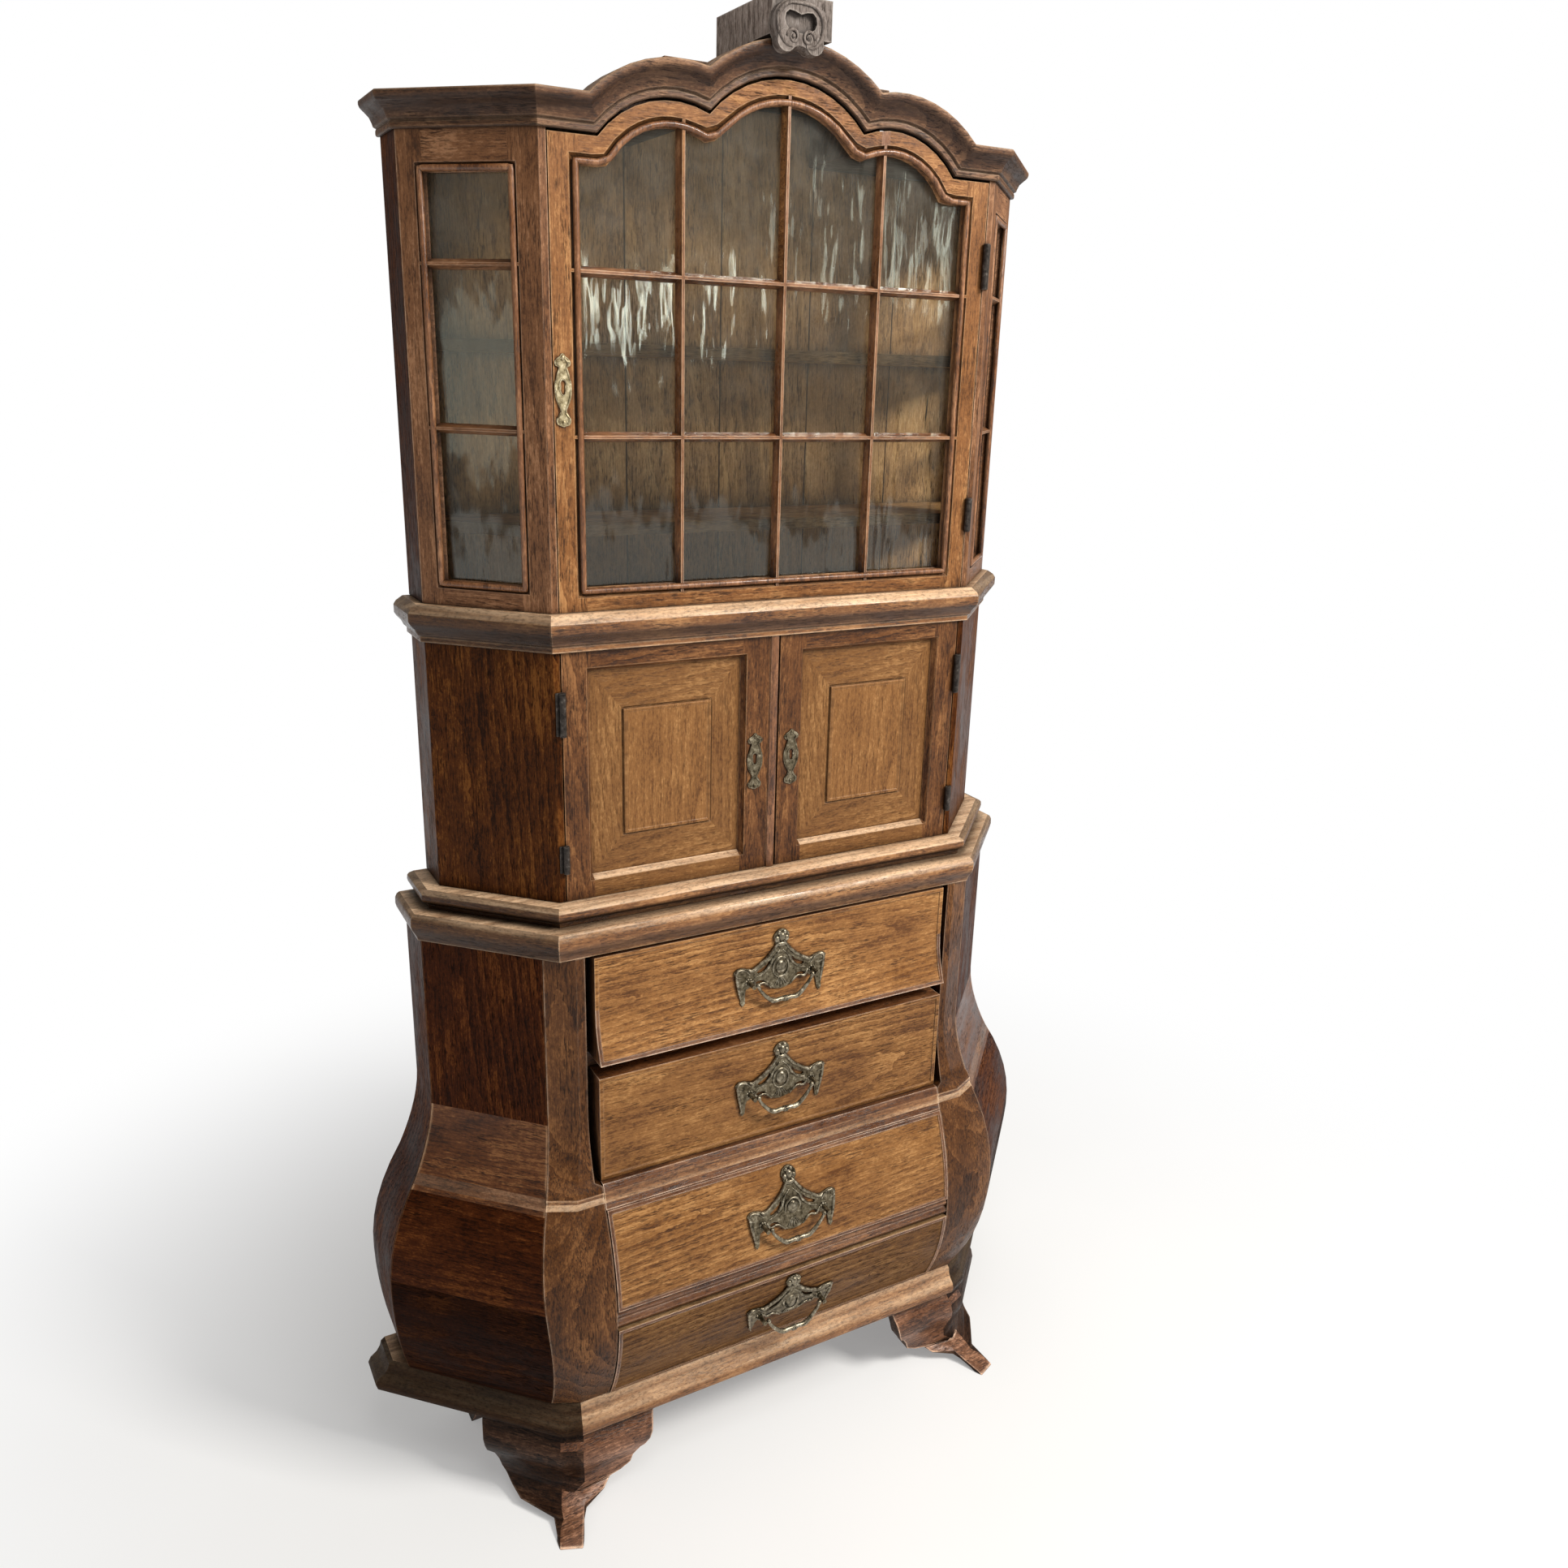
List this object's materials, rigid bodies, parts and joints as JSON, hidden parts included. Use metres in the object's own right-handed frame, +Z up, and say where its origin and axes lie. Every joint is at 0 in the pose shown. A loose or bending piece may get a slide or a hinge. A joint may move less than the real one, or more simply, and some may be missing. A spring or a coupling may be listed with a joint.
{
  "type": "cabinet on chest",
  "caption": "Oak display cabinet with an arched glazed door over a low panelled cupboard, on a bombe chest of drawers with canted corners.",
  "frame": {"origin": "on the floor, in the middle of the cabinet's width and depth", "axes": "+Z up; the doors and drawers face -Y; +X is the right side as seen from the front"},
  "size_m": [1.21, 0.36, 2.126],
  "materials": {
    "oak": "waxed oak, worn pale on its edges",
    "oak_golden": "waxed golden oak",
    "oak_dark": "dark unpolished oak",
    "bronze": "dull patinated bronze",
    "brass": "pale worn brass",
    "iron": "dark wrought iron",
    "glass": "clear old window glass"
  },
  "bodies": {
    "case": {"chest_back": "oak_dark", "chest_base": "oak", "chest_cant_left": "oak", "chest_cant_right": "oak", "chest_return_left": "oak", "chest_return_right": "oak", "chest_top": "oak", "corner_post_left": "oak", "corner_post_right": "oak", "cornice": "oak", "crest": "oak", "cupboard_side_left": "oak", "cupboard_side_right": "oak", "foot_front_left": "oak_dark", "foot_front_right": "oak_dark", "foot_rear_left": "oak_dark", "foot_rear_right": "oak_dark", "frieze": "oak", "hinge_glazed_lower": "iron", "hinge_glazed_upper": "iron", "hinge_left_lower": "iron", "hinge_left_upper": "iron", "hinge_right_lower": "iron", "hinge_right_upper": "iron", "mid_board": "oak", "rail_crease": "oak", "rail_lower": "oak", "rail_upper": "oak", "roof_board": "oak_dark", "shelf_lower": "oak_dark", "shelf_upper": "oak_dark", "side_glass_left": "glass", "side_glass_right": "glass", "upper_back": "oak_dark", "upper_base": "oak", "upper_return_left": "oak", "upper_return_right": "oak", "window_frame_left": "oak", "window_frame_right": "oak"},
    "drawer_1_body": {"drawer_1": "oak_golden", "handle_plate_1": "bronze"},
    "drawer_2_body": {"drawer_2": "oak_golden", "handle_plate_2": "bronze"},
    "drawer_3_body": {"drawer_3": "oak_golden", "handle_plate_3": "bronze"},
    "drawer_4_body": {"drawer_4": "oak_golden", "handle_plate_4": "bronze"},
    "bail_1_body": {"bail_1": "bronze"},
    "bail_2_body": {"bail_2": "bronze"},
    "bail_3_body": {"bail_3": "bronze"},
    "bail_4_body": {"bail_4": "bronze"},
    "glazed_door": {"glazed_door_frame": "oak", "door_glass": "glass", "escutcheon_glazed": "brass"},
    "cupboard_door_left_body": {"cupboard_door_left": "oak", "cupboard_panel_left": "oak_golden", "escutcheon_left": "bronze"},
    "cupboard_door_right_body": {"cupboard_door_right": "oak", "cupboard_panel_right": "oak_golden", "escutcheon_right": "bronze"}
  },
  "joints": [
    {"name": "drawer_1_slide", "type": "slide", "parent": "case", "child": "drawer_1_body", "axis": [0, -1, 0], "range_m": [0, 0.15]},
    {"name": "drawer_2_slide", "type": "slide", "parent": "case", "child": "drawer_2_body", "axis": [0, -1, 0], "range_m": [0, 0.15]},
    {"name": "drawer_3_slide", "type": "slide", "parent": "case", "child": "drawer_3_body", "axis": [0, -1, 0], "range_m": [0, 0.15]},
    {"name": "drawer_4_slide", "type": "slide", "parent": "case", "child": "drawer_4_body", "axis": [0, -1, 0], "range_m": [0, 0.15]},
    {"name": "bail_1_swing", "type": "hinge", "parent": "drawer_1_body", "child": "bail_1_body", "pos_m": [0, -0.0841, 0.8232], "axis": [1, 0, 0], "range_deg": [-95, 0]},
    {"name": "bail_2_swing", "type": "hinge", "parent": "drawer_2_body", "child": "bail_2_body", "pos_m": [0, -0.095, 0.6377], "axis": [1, 0, 0], "range_deg": [-95, 0]},
    {"name": "bail_3_swing", "type": "hinge", "parent": "drawer_3_body", "child": "bail_3_body", "pos_m": [0, -0.148, 0.4342], "axis": [1, 0, 0], "range_deg": [-95, 0]},
    {"name": "bail_4_swing", "type": "hinge", "parent": "drawer_4_body", "child": "bail_4_body", "pos_m": [0, -0.1459, 0.2619], "axis": [1, 0, 0], "range_deg": [-95, 0]},
    {"name": "glazed_door_hinge", "type": "hinge", "parent": "case", "child": "glazed_door", "pos_m": [0.32, -0.0298, 1.39], "axis": [0, 0, 1], "range_deg": [0, 110]},
    {"name": "cupboard_door_right_hinge", "type": "hinge", "parent": "case", "child": "cupboard_door_right_body", "pos_m": [0.32, -0.0298, 0.99], "axis": [0, 0, 1], "range_deg": [0, 110]},
    {"name": "cupboard_door_left_hinge", "type": "hinge", "parent": "case", "child": "cupboard_door_left_body", "pos_m": [-0.32, -0.0298, 0.99], "axis": [0, 0, 1], "range_deg": [-110, 0]}
  ]
}
